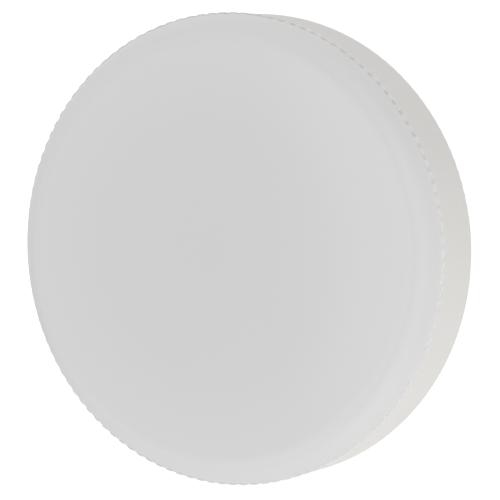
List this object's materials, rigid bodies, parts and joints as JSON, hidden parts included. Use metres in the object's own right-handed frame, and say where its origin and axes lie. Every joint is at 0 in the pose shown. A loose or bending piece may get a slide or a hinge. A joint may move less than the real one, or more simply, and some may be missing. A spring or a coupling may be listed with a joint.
{
  "type": "led disc lamp",
  "caption": "Flat round LED lamp: opal diffuser with a toothed grip edge on a stepped white housing, whose boss and mushroom contact pins push and twist into a ceiling holder.",
  "frame": {"origin": "centre of the flat end of the base boss, on which the lamp stands", "axes": "+Z along the lamp's axis, out of the light face; the contact pins lie on the X axis"},
  "size_m": [0.075, 0.075, 0.0264],
  "materials": {
    "opal_diffuser": "opal white polycarbonate, fine matte moulding",
    "housing_plastic": "warm white polyester moulding, satin",
    "plated_contact": "nickel plated, turned",
    "pressed_aluminium": "bare pressed sheet",
    "white_metal_core_board": "white solder mask over an aluminium core",
    "led_package": "yellow phosphor in a white frame",
    "zinc_screw": "zinc plated",
    "glass_epoxy_board": "green glass-epoxy laminate",
    "capacitor_sleeve": "shrink sleeve on an aluminium can",
    "film_capacitor_case": "dipped film capacitor",
    "ferrite": "sintered ferrite",
    "enamelled_copper": "enamelled copper wire",
    "resistor_coating": "lacquered wire-wound body",
    "black_epoxy": "moulded epoxy package",
    "chip_resistor": "glazed chip",
    "white_lead": "insulated lead",
    "red_lead": "insulated lead",
    "black_lead": "insulated lead"
  },
  "bodies": {
    "root": {"diffuser": "opal_diffuser", "housing": "housing_plastic", "contact_pin_left": "plated_contact", "contact_pin_right": "plated_contact", "heat_sink_plate": "pressed_aluminium", "led_board": "white_metal_core_board", "board_screws": "zinc_screw", "driver_board": "glass_epoxy_board", "input_capacitor": "capacitor_sleeve", "output_capacitor": "capacitor_sleeve", "film_capacitor": "film_capacitor_case", "choke_core": "ferrite", "choke_winding": "enamelled_copper", "fuse_resistor": "resistor_coating", "bridge_rectifier": "black_epoxy", "driver_chip": "black_epoxy", "output_diode": "black_epoxy", "sense_resistor_left": "chip_resistor", "sense_resistor_right": "chip_resistor", "mains_lead_left": "white_lead", "mains_lead_right": "white_lead", "led_lead_positive": "red_lead", "led_lead_negative": "black_lead", "led_outer_01": "led_package", "led_outer_02": "led_package", "led_outer_03": "led_package", "led_outer_04": "led_package", "led_outer_05": "led_package", "led_outer_06": "led_package", "led_outer_07": "led_package", "led_outer_08": "led_package", "led_outer_09": "led_package", "led_outer_10": "led_package", "led_outer_11": "led_package", "led_outer_12": "led_package", "led_inner_1": "led_package", "led_inner_2": "led_package", "led_inner_3": "led_package", "led_inner_4": "led_package", "led_inner_5": "led_package", "led_inner_6": "led_package"}
  },
  "joints": []
}
